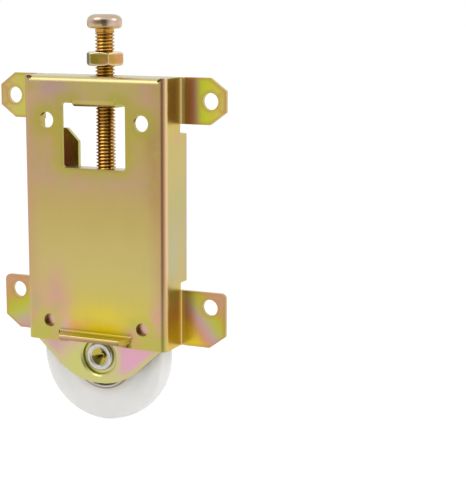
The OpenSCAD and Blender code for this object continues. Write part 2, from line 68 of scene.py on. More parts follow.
wheel_centre = (tyre_low + tyre_high) / 2
mid_y = wheel_centre.y
axle_z = wheel_centre.z

# housing
top_z = housing_high.z
lip_y = housing_low.y
lip_z = housing_low.z + 3.1
lip_half = 12.0
front_y = lip_y + 4.6
wall_x = 23.5
ear_x = 24.0
ear_low_z = -40.0
lower_hole_x = 15.65
lower_hole_z = housing_low.z + 6.1
flange_y = 3.9
flange_mid_z = -1.5
flange_inside_x = (15, 21)
flange_inside_half_z = 19
dimple_x = 17.2
dimple_rises = (0.4, -12.2, -19.0)

# radii of the screw's thread, the hollow in the axle's end and the ring round the bearing
thread_r = 2.95
root_r = 2.36
hollow_r = 2.85
ring_r = 10.0


# Shader expressions

class Field:
    """A node's output that takes part in Python expressions."""

    def __init__(self, recipe, socket):
        self.recipe = recipe
        self.socket = socket

    def math(self, operation, *others):
        values = dict(enumerate((self, *others)))
        return self.recipe.add("ShaderNodeMath", {"operation": operation}, values)

    def __add__(self, other):
        return self.math("ADD", other)

    def __sub__(self, other):
        return self.math("SUBTRACT", other)

    def __mul__(self, other):
        return self.math("MULTIPLY", other)

    def __truediv__(self, other):
        return self.math("DIVIDE", other)

    def __neg__(self):
        return self * -1

    def __rsub__(self, other):
        return -self + other

    __radd__ = __add__
    __rmul__ = __mul__

    def abs(self):
        return self.math("ABSOLUTE")

    def exp(self):
        return self.math("EXPONENT")

    def least(self, other):
        return self.math("MINIMUM", other)

    def most(self, other):
        return self.math("MAXIMUM", other)

    def clamp(self):
        return self.most(0.0).least(1.0)

    def step(self, low, high):
        """0 below low, 1 above high, smooth between."""
        values = {"Value": self, "From Min": low, "From Max": high}
        return self.recipe.add("ShaderNodeMapRange", {"interpolation_type": "SMOOTHSTEP"}, values)

    def bands(self, stops):
        """Screen colours laid along this value, as pairs of value and colour."""
        low, high = stops[0][0], stops[-1][0]
        places = [((value - low) / (high - low), shade(*colour)) for value, colour in stops]
        share = (self - low) / (high - low)
        return self.recipe.add("ShaderNodeValToRGB", {"stops": places}, {"Fac": share})

    def between(self, low, high):
        """The screen colour low where this value is 0, and high where it is 1."""
        values = {"Factor": self, "A": shade(*low), "B": shade(*high)}
        return self.recipe.add("ShaderNodeMix", {"data_type": "RGBA"}, values, "Result")

    def mix(self, other, factor):
        """This colour where factor is 0, the other where it is 1."""
        values = {"Factor": factor, "A": self, "B": other}
        return self.recipe.add("ShaderNodeMix", {"data_type": "RGBA"}, values, "Result")


class Recipe:
    """A node tree under construction."""

    def __init__(self, tree):
        self.tree = tree
        tree.nodes.clear()

    def add(self, kind, settings=None, values=None, out=0):
        """Adds any node: its settings first, then the values or links of its sockets."""
        node = self.tree.nodes.new(kind)
        for name, value in (settings or {}).items():
            if name == "stops":
                set_stops(node.color_ramp, value)
            else:
                setattr(node, name, value)
        for key, value in (values or {}).items():
            target = pick(node.inputs, key)
            if isinstance(value, Field):
                self.tree.links.new(value.socket, target)
            else:
                target.default_value = value
        return Field(self, pick(node.outputs, out)) if len(node.outputs) else None


def pick(sockets, key):
    """A socket by its place, or the enabled one of that name."""
    if isinstance(key, int):
        return sockets[key]
    return next(s for s in sockets if s.name == key and s.enabled)


def set_stops(ramp, stops):
    """Fills a colour ramp with pairs of place and colour."""
    ramp.interpolation = "B_SPLINE"
    while len(ramp.elements) < len(stops):
        ramp.elements.new(0.5)
    for element, (place, colour) in zip(ramp.elements, stops):
        element.position = place
        element.color = colour


def shade(red, green, blue):
    """A colour given in screen values from 0 to 255, as Blender's linear colour."""
    return tuple(linear(v / 255) for v in (red, green, blue)) + (1.0,)


def linear(v):
    """The linear value of a screen value from 0 to 1."""
    return v / 12.92 if v <= 0.04045 else ((v + 0.055) / 1.055) ** 2.4


def span(a, b):
    """Distance from an axis, from the distances along two directions across it."""
    return (a * a + b * b).math("SQRT")


# Materials

def new_finish(name):
    finish = bpy.data.materials.new(name)
    finish.use_nodes = True
    return finish, Recipe(finish.node_tree)


def end_finish(recipe, **sockets):
    """Feeds a Principled shader and the output."""
    values = {key.replace("_", " "): value for key, value in sockets.items()}
    skin = recipe.add("ShaderNodeBsdfPrincipled", {}, values)
    recipe.add("ShaderNodeOutputMaterial", {}, {"Surface": skin})


def axes(recipe, vector):
    """The three parts of a vector."""
    split = recipe.add("ShaderNodeSeparateXYZ", {}, {"Vector": vector})
    return [Field(recipe, s) for s in split.socket.node.outputs]


def in_object(recipe):
    """Object coordinates in millimetres, as a vector."""
    metres = recipe.add("ShaderNodeTexCoord", out="Object")
    return recipe.add("ShaderNodeVectorMath", {"operation": "SCALE"}, {"Vector": metres, "Scale": 1 / MM})


def noise(recipe, vector, size, detail=2.0, rough=0.5, warp=0.0, stretch=(1, 1, 1), shift=(0, 0, 0)):
    """Noise about zero whose blobs are about size millimetres across."""
    spread = recipe.add("ShaderNodeMapping", {}, {"Vector": vector, "Location": shift, "Scale": stretch})
    values = {"Vector": spread, "Scale": 1 / size, "Detail": detail, "Roughness": rough, "Distortion": warp}
    return recipe.add("ShaderNodeTexNoise", {}, values) - 0.5


def bump(recipe, height, strength, depth):
    """A normal tilted by a height field, with its depth in millimetres."""
    return recipe.add("ShaderNodeBump", {}, {"Strength": strength, "Distance": depth * MM, "Height": height})


def uneven(recipe, vector, size, reach):
    """The place pushed about by noise, so that patches laid on it get uneven borders."""
    push = recipe.add("ShaderNodeTexNoise", {}, {"Vector": vector, "Scale": 1 / size, "Detail": 2.0}, "Color")
    back = recipe.add("ShaderNodeVectorMath", {"operation": "SUBTRACT"}, {0: vector, 1: [reach / 2] * 3})
    values = {0: push, 1: [reach] * 3, 2: back}
    return recipe.add("ShaderNodeVectorMath", {"operation": "MULTIPLY_ADD"}, values)


def patched(recipe, vector, colour, patches):
    """Lays soft round patches over a colour, each given by screen colour, centre, half size and strength."""
    for tint, centre, size, strength in patches:
        shift = [-c / s for c, s in zip(centre, size)]
        values = {"Vector": vector, "Location": shift, "Scale": [1 / s for s in size]}
        near = recipe.add("ShaderNodeMapping", {}, values)
        far = recipe.add("ShaderNodeVectorMath", {"operation": "DOT_PRODUCT"}, {0: near, 1: near}, "Value")
        colour = colour.mix(shade(*tint), (-far).exp() * strength)
    return colour


def on_face(y, depth, rows):
    """Patches on a face across y, from rows of screen colour, x, z, half width, half height and strength."""
    return [(tint, (x, y, z), (width, depth, height), strength)
            for tint, x, z, width, height, strength in rows]


# Colours of the chromate film, laid along a length in millimetres

# up the front plate and round the top bend
PLATE_FILM = [
    (-43.0, (194, 180, 84)), (-39.0, (198, 182, 84)), (-36.0, (214, 194, 84)), (-32.0, (210, 193, 92)),
    (-26.0, (206, 190, 108)), (-19.0, (203, 186, 117)), (-11.0, (201, 182, 111)), (-3.0, (198, 176, 106)),
    (3.0, (197, 171, 110)), (7.5, (197, 163, 128)), (13.0, (194, 168, 106)), (21.0, (194, 172, 94)),
    (31.0, (198, 177, 110)), (35.6, (196, 178, 108)), (36.6, (210, 194, 124)), (37.3, (214, 206, 174))]
# from left to right along the lip, on top of it and on its edge
LIP_FILM = [
    (-10.0, (204, 204, 150)), (-7.0, (180, 196, 76)), (-3.5, (166, 188, 88)), (0.0, (164, 172, 110)),
    (5.0, (174, 176, 118)), (9.0, (182, 180, 66)), (12.0, (196, 160, 70))]
LIP_EDGE_FILM = [
    (-10.0, (186, 144, 122)), (-3.0, (182, 142, 108)), (3.0, (160, 134, 82)), (9.0, (160, 134, 94))]
# up the side walls
WALL_FILM = [
    (-26.0, (200, 178, 104)), (-20.0, (196, 182, 126)), (-12.0, (194, 183, 134)), (0.0, (195, 182, 118)),
    (12.0, (204, 186, 106)), (24.0, (206, 186, 100))]
# outwards from the fold of an upper ear
UPPER_EAR_FILM = [
    (24.0, (206, 172, 74)), (25.6, (198, 136, 82)), (27.2, (178, 112, 90)), (28.5, (184, 158, 108)),
    (30.0, (210, 216, 50)), (33.0, (212, 210, 66)), (36.4, (224, 206, 100)), (38.5, (212, 174, 112))]
# from the lower inner corner of a lower ear to its upper outer corner
LOWER_EAR_FILM = [
    (0.0, (232, 210, 50)), (4.0, (226, 196, 58)), (6.2, (212, 160, 88)), (8.4, (208, 156, 142)),
    (10.6, (200, 164, 162)), (12.8, (190, 184, 112)), (15.4, (190, 192, 60)), (18.0, (192, 172, 72)),
    (20.5, (202, 158, 114)), (24.0, (204, 160, 130))]
# the same two at the back of the ears
UPPER_EAR_BACK_FILM = [
    (24.0, (200, 166, 152)), (27.0, (200, 164, 156)), (28.6, (188, 178, 124)), (30.5, (182, 186, 100)),
    (33.0, (190, 186, 106)), (36.0, (202, 174, 114)), (39.0, (196, 182, 112))]
LOWER_EAR_BACK_FILM = [
    (0.0, (196, 186, 140)), (3.0, (210, 180, 162)), (6.0, (218, 174, 168)), (9.0, (214, 176, 166)),
    (11.5, (198, 186, 132)), (14.0, (186, 192, 100)), (16.0, (194, 188, 100)), (18.5, (210, 174, 120)),
    (23.0, (216, 166, 122))]
# inwards from a cut edge of a guide flange
FLANGE_FILM = [
    (0.0, (192, 188, 118)), (1.4, (182, 182, 106)), (2.6, (190, 172, 136)), (3.6, (200, 160, 156)),
    (8.0, (198, 160, 150))]
# up the carriage
CARRIAGE_FILM = [
    (-56.0, (216, 178, 178)), (-47.0, (221, 173, 180)), (-41.0, (221, 175, 168)), (-34.0, (220, 177, 150)),
    (-25.0, (214, 181, 126)), (-14.0, (210, 182, 105)), (-4.0, (204, 173, 114)), (3.0, (198, 160, 118)),
    (7.2, (202, 167, 152)), (9.4, (216, 190, 180))]
# across the nut: its film, darker on the left and paler on the right as painted shade and light on its faces
NUT_FILM_AND_SHADE = [
    (-2.0, (138, 124, 46)), (-0.8, (160, 144, 54)), (0.2, (176, 150, 56)), (1.1, (192, 148, 66)),
    (2.0, (214, 156, 112))]

# Patches of the film as rows for on_face; one row is a painted reflection of the lip just above its root
PLATE_PATCHES = [
    ((196, 160, 150), -13.5, 34.0, 6.0, 4.2, 1.0),
    ((204, 162, 128), 18.5, 33.3, 5.0, 4.2, 0.85),
    ((212, 180, 132), -21.0, 32.0, 3.5, 5.0, 0.6),
    ((206, 168, 98), -13.5, 20.0, 2.6, 5.0, 0.5),
    ((172, 148, 84), 20.0, 20.0, 3.4, 5.0, 0.6),
    ((184, 150, 92), 21.0, 8.0, 2.6, 16.0, 0.8),
    ((213, 165, 144), -13.8, -30.0, 5.6, 9.0, 1.0),
    ((198, 164, 138), -20.5, -31.0, 2.6, 5.0, 0.8),
    ((215, 170, 138), 20.5, -33.5, 2.6, 4.6, 0.95),
    ((206, 166, 132), 12.6, -39.0, 2.2, 2.2, 0.9),
    ((228, 204, 66), 3.0, -34.0, 9.0, 4.0, 0.6),
    # painted reflection of the lip, gold just above its root
    ((222, 188, 10), 2.5, -38.8, 9.5, 1.9, 1.0),
    ((232, 166, 92), -6.2, -37.2, 3.0, 1.5, 0.9),
    ((224, 168, 168), -10.2, -37.0, 2.4, 3.0, 0.95),
]
# pink at the lip's right end, over the green of the lower corners
LIP_END_PATCHES = [((214, 172, 138), 12.6, -38.2, 1.8, 1.6, 0.9)]
CARRIAGE_BACK_PATCHES = [
    ((202, 176, 92), -18.0, -4.0, 7.0, 16.0, 0.7),
    ((200, 198, 138), 0.0, axle_z, 8.4, 8.4, 1.0),
]
CARRIAGE_FRONT_PATCHES = [
    ((206, 207, 112), -6.5, -50.0, 7.0, 7.5, 1.0),
    ((204, 200, 140), 1.0, -54.0, 9.0, 3.0, 0.9),
    ((200, 168, 158), -14.5, -43.5, 3.6, 3.0, 0.8),
    ((228, 168, 194), 11.5, -47.5, 5.0, 4.5, 0.9),
]
# on the walls, as rows of screen colour, y, z, half width, half height and strength
WALL_PATCHES = [
    ((210, 172, 134), -1.5, 20.0, 4.0, 2.4, 0.6),
    ((186, 186, 118), -2.0, 3.0, 3.0, 6.0, 0.5),
    ((184, 188, 150), -5.0, -15.0, 2.2, 7.0, 0.6),
    ((208, 182, 96), -0.5, -17.0, 1.6, 7.0, 0.6),
]
# how far a patch reaches through the sheet of the plate and walls, and of the carriage and flanges
PLATE_PATCH_DEPTH = 6
LEG_PATCH_DEPTH = 4


def zinc_start(name):
    """Opens a zinc finish: its coordinates, the distance from the nearest cut edge, and clouds."""
    finish, recipe = new_finish(name)
    vector = in_object(recipe)
    x, y, z = axes(recipe, vector)
    side = x.abs()
    folded = recipe.add("ShaderNodeCombineXYZ", {}, {0: side, 1: y, 2: z})
    rim = recipe.add("ShaderNodeAttribute", {"attribute_name": "rim"}, out="Fac")
    cloud = noise(recipe, vector, 22, 2.0, 0.45, 0.6) * 7 + noise(recipe, vector, 7, 1.5, 0.5, 0.4) * 3
    return SimpleNamespace(finish=finish, recipe=recipe, vector=vector, x=x, y=y, z=z, side=side,
                           folded=folded, rim=rim, cloud=cloud)


def zinc_skin(film, colour, rough):
    """Feeds a film's colour to a metal shader with faint drawing streaks, fine grain and slight waves."""
    recipe, vector = film.recipe, film.vector
    streak = noise(recipe, vector, 0.9, 2.0, 0.6, stretch=(1, 1, 0.04))
    grain = noise(recipe, vector, 0.35, 2.0, 0.6)
    smear = noise(recipe, vector, 12, 2.0, 0.5, shift=(4.4, 0, 9))
    colour = colour.mix(shade(148, 126, 80), (streak * 0.07 + grain * 0.10 + smear * 0.10).clamp())
    gloss = rough + 0.04 * streak + 0.05 * grain + 0.08 * smear
    wave = noise(recipe, vector, 6, 1.0) * 0.6 + grain * 0.05 + streak * 0.03
    end_finish(recipe, Base_Color=colour, Metallic=1.0, Roughness=gloss, Normal=bump(recipe, wave, 0.2, 0.1))
    return film.finish


def plate_colour(film):
    """The front plate: bands up it, soft patches, mottling, and green by its cut edges and corners."""
    recipe, vector, z, side, cloud = film.recipe, film.vector, film.z, film.side, film.cloud
    loose = uneven(recipe, vector, 11, 6.0)
    plate = (z + cloud * 0.6).bands(PLATE_FILM)
    plate = plate.mix(shade(199, 163, 121), side.step(wall_x - 7.0, wall_x - 1.0) * 0.65)
    plate = patched(recipe, loose, plate, on_face(front_y, PLATE_PATCH_DEPTH, PLATE_PATCHES))

    mottle = noise(recipe, vector, 6.5, 2.5, 0.5, 0.7)
    mottled = z.step(0, 14).most((1 - z.step(-32, -20)) * side.step(8, 15)) * 0.45
    plate = plate.mix(shade(186, 186, 88), mottle.step(0.02, 0.2) * mottled)
    plate = plate.mix(shade(206, 162, 142), (-mottle).step(0.02, 0.2) * mottled)

    by_edge = 1 - (film.rim + cloud * 0.35).step(0.3, 4.4)
    cut_tint = z.step(-30, 0).between((192, 188, 92), (182, 171, 70))
    plate = plate.mix(cut_tint, by_edge * 0.62 * (1 - z.step(top_z - 4, top_z - 1)) * z.step(-41, -38))
    corner = side.step(13.5, 17.5) * (1 - z.step(-40.5, -36.0))
    plate = plate.mix(shade(192, 186, 90), corner * 0.8)
    return patched(recipe, vector, plate, on_face(front_y, PLATE_PATCH_DEPTH, LIP_END_PATCHES))


def plate_with_edges(film):
    """The plate and lip, painted shade at the lip's root and on the lower holes' walls, a painted highlight
    atop the lip's edge, and the top bend.
    """
    y, z = film.y, film.z
    plate = plate_colour(film)
    # painted shade in the crease at the lip's root
    root = (1 - z.step(lip_z + 0.4, lip_z + 1.3)) * (1 - film.side.step(lip_half - 0.4, lip_half + 0.4))
    plate = plate.mix(shade(40, 28, 0), root * 0.53)

    lip = 1 - y.step(front_y - 1.1, front_y - 0.3)
    lip_edge = 1 - y.step(lip_y + 0.2, lip_y + 0.5)
    along = film.x + film.cloud * 0.3
    # film along the lip's edge, with a painted highlight along its top
    edge_film_and_highlight = along.bands(LIP_EDGE_FILM).mix(shade(220, 197, 134), z.step(lip_z - 0.9, lip_z - 0.2))
    plate = plate.mix(along.bands(LIP_FILM), lip).mix(edge_film_and_highlight, lip_edge)

    # painted shade on the walls of the lower holes
    hole_wall_shade = ((96, 54, 20), (lower_hole_x, front_y + 0.9, lower_hole_z), (4, 0.45, 4), 0.95)
    plate = patched(film.recipe, film.folded, plate, [hole_wall_shade])
    plate = plate.mix(shade(186, 171, 120), z.step(top_z - 1.9, top_z - 1.2))
    return plate.mix(shade(202, 193, 154), z.step(top_z - 0.5, top_z - 0.1))


def wall_colour(film):
    """The side walls, with a painted golden reflection of the ears beside them."""
    z = film.z
    wall = (z + film.cloud).bands(WALL_FILM)
    wall = patched(film.recipe, film.folded, wall, [
        (tint, (wall_x, y, rise), (PLATE_PATCH_DEPTH, width, height), strength)
        for tint, y, rise, width, height, strength in WALL_PATCHES])
    # painted reflection of the ears, in gold beside them
    by_ear = z.step(17, 27).most(1 - z.step(-30, -21))
    gold = z.step(-20, 20).between((234, 194, 70), (222, 192, 84))
    return wall.mix(gold, by_ear * 0.85)


def ear_colour(film):
    """The ears, each with its own bands, and paler ones at the back."""
    z, side, rim, cloud = film.z, film.side, film.rim, film.cloud
    is_upper = z.step(-6, 6)
    is_left = 1 - film.x.step(-20, 20)
    outwards = side + is_left * 1.8 + cloud * 0.25
    upper = outwards.bands(UPPER_EAR_FILM).mix(shade(212, 190, 140), is_left * 0.35)
    # the lower ears' bands lie flatter on the left than on the right
    right_slant = side - ear_x + 0.9 * (z - ear_low_z)
    left_slant = 14 + 0.35 * (side - 31) + 0.8 * (z + 37)
    slant = right_slant + (left_slant - right_slant) * is_left + cloud * 0.4
    front = slant.bands(LOWER_EAR_FILM).mix(upper, is_upper)
    front = front.mix(shade(200, 146, 88), (1 - rim.step(0.2, 1.3)) * 0.5)

    upper_back = (side + cloud * 0.3).bands(UPPER_EAR_BACK_FILM)
    lower_back = (right_slant + cloud * 0.6).bands(LOWER_EAR_BACK_FILM)
    inner_corner = (1 - is_left) * (1 - right_slant.step(8, 13))
    back = lower_back.mix(shade(190, 190, 136), inner_corner * 0.55).mix(upper_back, is_upper)
    back = back.mix(shade(188, 188, 104), (1 - (rim + cloud * 0.1).step(0.3, 1.5)) * 0.6)
    return front.mix(back, film.y.step(0.5, 1.1))


def flange_colour(film):
    """The guide flanges: pink inside green borders, with green round the dimples and a painted gold highlight
    in each.
    """
    flange = (film.rim + film.cloud * 0.15).bands(FLANGE_FILM)
    halos = [((190, 188, 112), dimple_x, rise, 2.2, 2.2, 0.85) for rise in dimple_rises]
    # painted highlights in the dimples
    dimple_highlights = [((238, 200, 104), dimple_x, rise, 0.95, 0.95, 1.0) for rise in dimple_rises]
    return patched(film.recipe, film.folded, flange, on_face(flange_y, LEG_PATCH_DEPTH, halos + dimple_highlights))


def housing_zinc():
    film = zinc_start("housing zinc")
    y, z, side = film.y, film.z, film.side
    colour = plate_with_edges(film).mix(wall_colour(film), side.step(wall_x - 0.4, wall_x + 0.1))

    # brown before the bend from plate to wall, and a painted highlight round it
    before = side.step(wall_x - 1.9, wall_x - 0.9) * (1 - side.step(wall_x - 0.15, wall_x))
    before = before * z.step(-30, -20) * (1 - y.step(front_y + 0.8, front_y + 1.6))
    colour = colour.mix(shade(198, 138, 112), before * 0.6)
    bend_highlight = side.step(wall_x - 0.6, wall_x - 0.25) * y.step(front_y + 0.3, front_y + 0.8)
    bend_highlight = bend_highlight * (1 - y.step(front_y + 1.3, front_y + 2.2))
    colour = colour.mix(shade(244, 214, 170), bend_highlight * (z.step(-32, -18) * 0.5 + 0.2))

    # a painted highlight along the ears' folds
    colour = colour.mix(ear_colour(film), side.step(wall_x + 0.2, wall_x + 1.0))
    fold_highlight = side.step(wall_x + 0.02, wall_x + 0.25) * (1 - side.step(wall_x + 0.9, wall_x + 1.6))
    fold_highlight = fold_highlight * (1 - y.step(0.4, 0.9))
    colour = colour.mix(shade(252, 236, 208), fold_highlight * (z.step(-6, 6) * 0.5 + 0.3))

    colour = colour.mix(flange_colour(film), y.step(flange_y - 1.3, flange_y + 0.1))
    return zinc_skin(film, colour, 0.31)


def carriage_zinc():
    film = zinc_start("carriage zinc")
    loose = uneven(film.recipe, film.vector, 9, 4.0)
    colour = (film.z + film.cloud).bands(CARRIAGE_FILM)
    for y, rows in ((carriage_high.y, CARRIAGE_BACK_PATCHES), (carriage_low.y, CARRIAGE_FRONT_PATCHES)):
        colour = patched(film.recipe, loose, colour, on_face(y, LEG_PATCH_DEPTH, rows))
    by_edge = 1 - (film.rim + film.cloud * 0.15).step(0.3, 2.2)
    return zinc_skin(film, colour.mix(shade(206, 202, 128), by_edge * 0.8), 0.31)


def nut_zinc():
    film = zinc_start("nut zinc")
    z = film.z
    # film bands across the nut, with painted shade on its left and painted light on its right
    colour = (noise(film.recipe, film.vector, 4.0, 2.0, 0.5, 0.6) * 5 + film.x * 0.34).bands(NUT_FILM_AND_SHADE)
    # painted highlight on the chamfers and along the cut edges
    chamfer = z.step(nut_high.z - 0.9, nut_high.z - 0.3).most(1 - z.step(nut_low.z + 0.3, nut_low.z + 0.9))
    colour = colour.mix(shade(232, 220, 184), chamfer.most(1 - film.rim.step(0.1, 0.4)) * 0.7)
    return zinc_skin(film, colour, 0.16)


def steel_grain(recipe, vector):
    """Smears for a steel's tone and gloss, and its fine bump."""
    smear = noise(recipe, vector, 1.6, 3.0, 0.6)
    fine = noise(recipe, vector, 0.25, 2.0, 0.5)
    return smear, bump(recipe, fine, 0.1, 0.05)


def steel_finish(name, dark, pale):
    finish, recipe = new_finish(name)
    smear, normal = steel_grain(recipe, in_object(recipe))
    tone = smear.bands([(-0.2, dark), (0.2, pale)])
    end_finish(recipe, Base_Color=tone, Metallic=1.0, Roughness=0.24 + 0.12 * smear, Normal=normal)
    return finish


def axle_finish():
    """Bright where the front end was spun over, with painted reflections in its hollow, gold film on the
    slotted head and a painted reflection along the slot.
    """
    finish, recipe = new_finish("axle steel")
    vector = in_object(recipe)
    x, y, z = axes(recipe, vector)
    rise = z - axle_z
    radius = span(x, rise)
    smear, normal = steel_grain(recipe, vector)
    bright = smear.bands([(-0.2, (190, 188, 184)), (0.2, (214, 212, 209))])
    gold = (rise - x + smear * 4).bands([(-4, (224, 186, 128)), (-1, (226, 198, 94)), (3, (214, 207, 104))])
    # painted reflection, paler along the slot
    gold = gold.mix(shade(202, 202, 140), 1 - x.abs().step(0.7, 1.0))
    # painted reflections in the hollow, yellow and dark by turns round it
    hollow = (1 - radius.step(hollow_r - 0.3, hollow_r)) * (1 - y.step(mid_y - 1, mid_y + 1))
    reflection_sectors = (x * rise / (radius * radius + 0.01)).step(-0.12, 0.16)
    hollow_reflection = reflection_sectors.bands([(0, (206, 186, 84)), (1, (58, 46, 18))])
    colour = bright.mix(hollow_reflection, hollow).mix(gold, y.step(mid_y + 4.0, mid_y + 4.6))
    end_finish(recipe, Base_Color=colour, Metallic=1.0, Roughness=0.15 + 0.1 * smear, Normal=normal)
    return finish


def screw_finish():
    """Bronze film on the thread with painted shade in its root, and paler and pinker on the head, with
    painted shade at its top and a painted dark reflection across it.
    """
    finish, recipe = new_finish("screw bronze")
    vector = in_object(recipe)
    x, y, z = axes(recipe, vector)
    head = z.step(screw_high.z - 4.4, screw_high.z - 2.8)
    blotch = noise(recipe, vector, 3.2, 2.0, 0.5, 0.4)
    thread = blotch.bands([(-0.25, (188, 138, 56)), (0.25, (218, 176, 96))])
    radius = span(x, y - mid_y)
    # painted shade in the thread's root
    thread = thread.mix(shade(132, 88, 30), 1 - radius.step(root_r, thread_r - 0.1))
    crown = blotch.bands([(-0.3, (176, 156, 98)), (-0.08, (206, 178, 152)), (0.3, (214, 194, 184))])
    # painted shade towards the head's top
    crown = crown.mix(shade(178, 158, 138), z.step(screw_high.z - 1.8, screw_high.z - 0.8) * 0.6)
    # a painted dark reflection across the middle of the head
    dark_reflection = ((116, 92, 62), (1.0, mid_y - 5, screw_high.z - 2.2), (2.4, 3, 0.5), 0.7)
    crown = patched(recipe, vector, crown, [dark_reflection])
    grain = noise(recipe, vector, 0.3, 2.0, 0.6)
    end_finish(recipe, Base_Color=thread.mix(crown, head), Metallic=1.0, Roughness=0.2 + 0.1 * blotch,
               Normal=bump(recipe, grain, 0.15, 0.05))
    return finish


def nylon_finish():
    """White, with painted shade towards the bearing and in the groove round the raised ring."""
    finish, recipe = new_finish("white nylon")
    vector = in_object(recipe)
    x, _, z = axes(recipe, vector)
    cloud = noise(recipe, vector, 7, 2.0, 0.5)
    speck = noise(recipe, vector, 0.5, 2.0, 0.6)
    tone = (cloud * 0.8 + speck * 0.2).bands([(-0.25, (225, 223, 220)), (0.25, (234, 233, 231))])
    radius = span(x, z - axle_z)
    # painted shade in the groove round the ring and towards the bearing
    groove = (1 - (radius - ring_r - 0.25).abs().step(0.1, 0.5)) * 0.9
    hub_shade = (1 - radius.step(ring_r, ring_r + 3.5)) * 0.4
    tone = tone.mix(shade(206, 192, 180), hub_shade).mix(shade(150, 132, 114), groove)
    end_finish(recipe, Base_Color=tone, Roughness=0.42 + 0.1 * speck, Normal=bump(recipe, speck, 0.12, 0.08),
               Subsurface_Weight=0.35, Subsurface_Radius=(1.0, 0.95, 0.9), Subsurface_Scale=0.0025, IOR=1.53)
    return finish


# Mesh tools

# two points closer than this are one, in metres
TOUCH = 1e-6
CUT_TOUCH = 1e-7
# CAD points closer than this are merged, and points along an edge for its distance stand this far apart
MERGE = 0.03
RIM_STEP = 0.5
# faces closer than the first angle are one, and an edge sharper than the second gets a round
FLAT_ANGLE = math.radians(0.5)
SHARP_ANGLE = math.radians(35)
# keeps the grid's cuts off the CAD's own edges
GRID_SHIFT = 0.37


def new_object(name, data):
    thing = bpy.data.objects.new(name, data)
    bpy.context.scene.collection.objects.link(thing)
    return thing


def to_mesh(name, shape, finish):
    """Turns a bmesh into a mesh with one material."""
    mesh = bpy.data.meshes.new(name)
    shape.to_mesh(mesh)
    shape.free()
    mesh.materials.append(finish)
    return mesh


def piece(name, shape, finish, body, slot, *nodes):
    """Turns a bmesh into a piece that rides on a body and stands for CAD nodes."""
    mesh = to_mesh(name, shape, finish)
    mesh.shade_smooth()
    thing = new_object(name, mesh)
    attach(thing, body)
    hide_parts(*nodes)
    return thing


def even_normals(thing):
    """Lets large faces set the normals along the edges they end in."""
    weigh = thing.modifiers.new("even normals", "WEIGHTED_NORMAL")
    weigh.weight = 100
    weigh.keep_sharp = False


def level_normals(thing):
    """Weighs normals by area down to faces too small for the modifier, so that flat sheet looks flat."""
    mesh = thing.data
    sums = [Vector() for _ in mesh.vertices]
    for face in mesh.polygons:
        for i in face.vertices:
            sums[i] += face.normal * (face.area / MM / MM)
    mesh.normals_split_custom_set_from_vertices([total.normalized() for total in sums])


def mark_rim(thing, rim_points):
    """Stores each vertex's distance from the nearest cut edge, in millimetres."""
    tree = KDTree(len(rim_points))
    for i, point in enumerate(rim_points):
        tree.insert(point, i)
    tree.balance()
    mesh = thing.data
    values = [tree.find(v.co)[2] / MM for v in mesh.vertices]
    mesh.attributes.new("rim", "FLOAT", "POINT").data.foreach_set("value", values)


def everything(shape):
    return shape.verts[:] + shape.edges[:] + shape.faces[:]


def inside_flange(spot):
    """Whether a place lies within a guide flange, away from its borders, where only dimples have edges."""
    low, high = flange_inside_x
    across = spot.y > flange_y and low < abs(spot.x) < high
    return across and abs(spot.z - flange_mid_z) < flange_inside_half_z


def softened(node, width, reshape=None):
    """A merged copy of a CAD node with rounded edges, and points along those edges."""
    shape = bmesh.new()
    shape.from_mesh(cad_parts[node].data)
    bmesh.ops.remove_doubles(shape, verts=shape.verts, dist=MERGE * MM)
    bmesh.ops.dissolve_degenerate(shape, edges=shape.edges, dist=TOUCH)
    bmesh.ops.dissolve_limit(shape, angle_limit=FLAT_ANGLE, verts=shape.verts, edges=shape.edges)
    if reshape:
        reshape(shape)
    hard = [e for e in shape.edges if e.is_manifold and e.calc_face_angle() > SHARP_ANGLE]
    rim_points = []
    for edge in hard:
        start, end = (v.co.copy() for v in edge.verts)
        if inside_flange(start / MM):
            continue
        count = max(1, math.ceil((end - start).length / (RIM_STEP * MM)))
        rim_points += [start.lerp(end, i / count) for i in range(count)]
    bmesh.ops.bevel(shape, geom=hard, offset=width * MM, offset_type="ABSOLUTE", segments=2, profile=0.5,
                    affect="EDGES", material=-1, clamp_overlap=False)
    return shape, rim_points


def sliced(shape, step):
    """Cuts a mesh by a grid of planes, so that values on its vertices stay smooth."""
    low = Vector(min(v.co[i] for v in shape.verts) for i in range(3))
    high = Vector(max(v.co[i] for v in shape.verts) for i in range(3))
    for axis in range(3):
        count = int((high[axis] - low[axis]) / (step * MM))
        normal = Vector(float(axis == i) for i in range(3))
        for k in range(1, count + 1):
            spot = normal * (low[axis] + (k - GRID_SHIFT) * step * MM)
            bmesh.ops.bisect_plane(shape, geom=everything(shape), plane_co=spot, plane_no=normal,
                                   dist=CUT_TOUCH)
    return shape


def turned(profile, steps, axis="Y", centre=(0, 0, 0)):
    """Spins an open or closed profile of (radius, height) points about an axis through centre."""
    shape = bmesh.new()
    centre = Vector(centre)
    along = Vector((0, 1, 0)) if axis == "Y" else Vector((0, 0, 1))
    out = Vector((1, 0, 0))
    verts = [shape.verts.new((centre + out * r + along * h) * MM) for r, h in profile]
    edges = [shape.edges.new(pair) for pair in zip(verts, verts[1:])]
    bmesh.ops.spin(shape, geom=verts + edges, cent=centre * MM, axis=along, angle=math.tau, steps=steps,
                   use_merge=True, dvec=(0, 0, 0))
    bmesh.ops.remove_doubles(shape, verts=shape.verts, dist=CUT_TOUCH)
    bmesh.ops.recalc_face_normals(shape, faces=shape.faces)
    return shape


def arc(centre, radius, start, end, count):
    """Points of an arc, with angles in degrees."""
    angles = [math.radians(start + (end - start) * i / count) for i in range(count + 1)]
    return [(centre[0] + radius * math.cos(a), centre[1] + radius * math.sin(a)) for a in angles]


